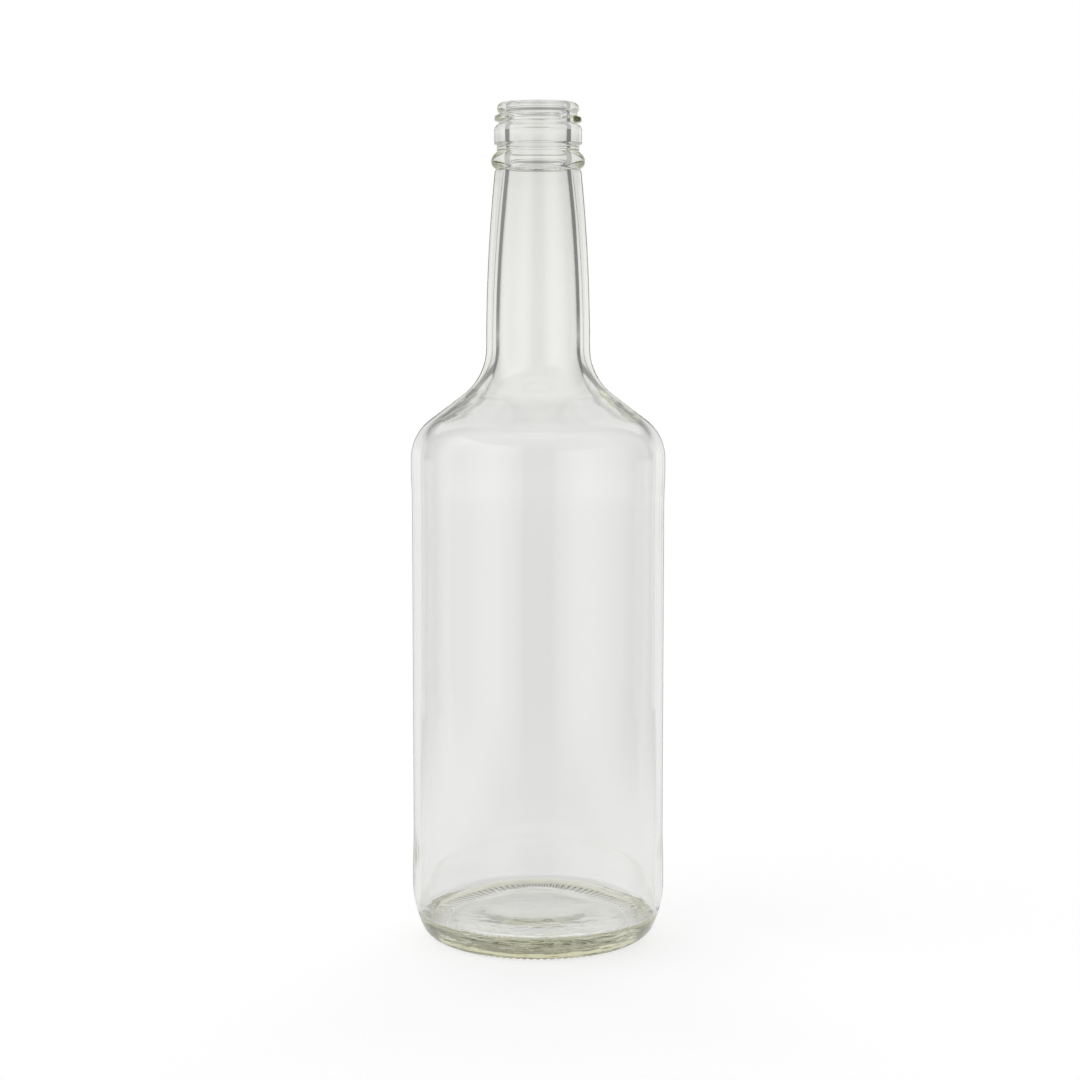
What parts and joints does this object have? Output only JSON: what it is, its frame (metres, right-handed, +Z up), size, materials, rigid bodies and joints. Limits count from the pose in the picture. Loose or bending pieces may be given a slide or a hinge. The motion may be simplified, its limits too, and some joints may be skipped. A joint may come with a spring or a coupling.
{
  "type": "glass bottle",
  "caption": "Clear glass bottle with a straight round body, sloping shoulder, long neck and a threaded finish for a rolled-on cap; holds and pours liquids.",
  "frame": {"origin": "centre of the bearing ring, on the table under the bottle", "axes": "+Z up the bottle's axis through the mouth; the thread starts 37 degrees from -Y towards +X"},
  "size_m": [0.0802, 0.0802, 0.2649],
  "materials": {
    "glass": "clear flint glass, fire polished, faint olive tint where it is thick"
  },
  "bodies": {
    "root": {"base": "glass", "body": "glass", "shoulder": "glass", "neck": "glass", "finish": "glass"}
  },
  "joints": []
}
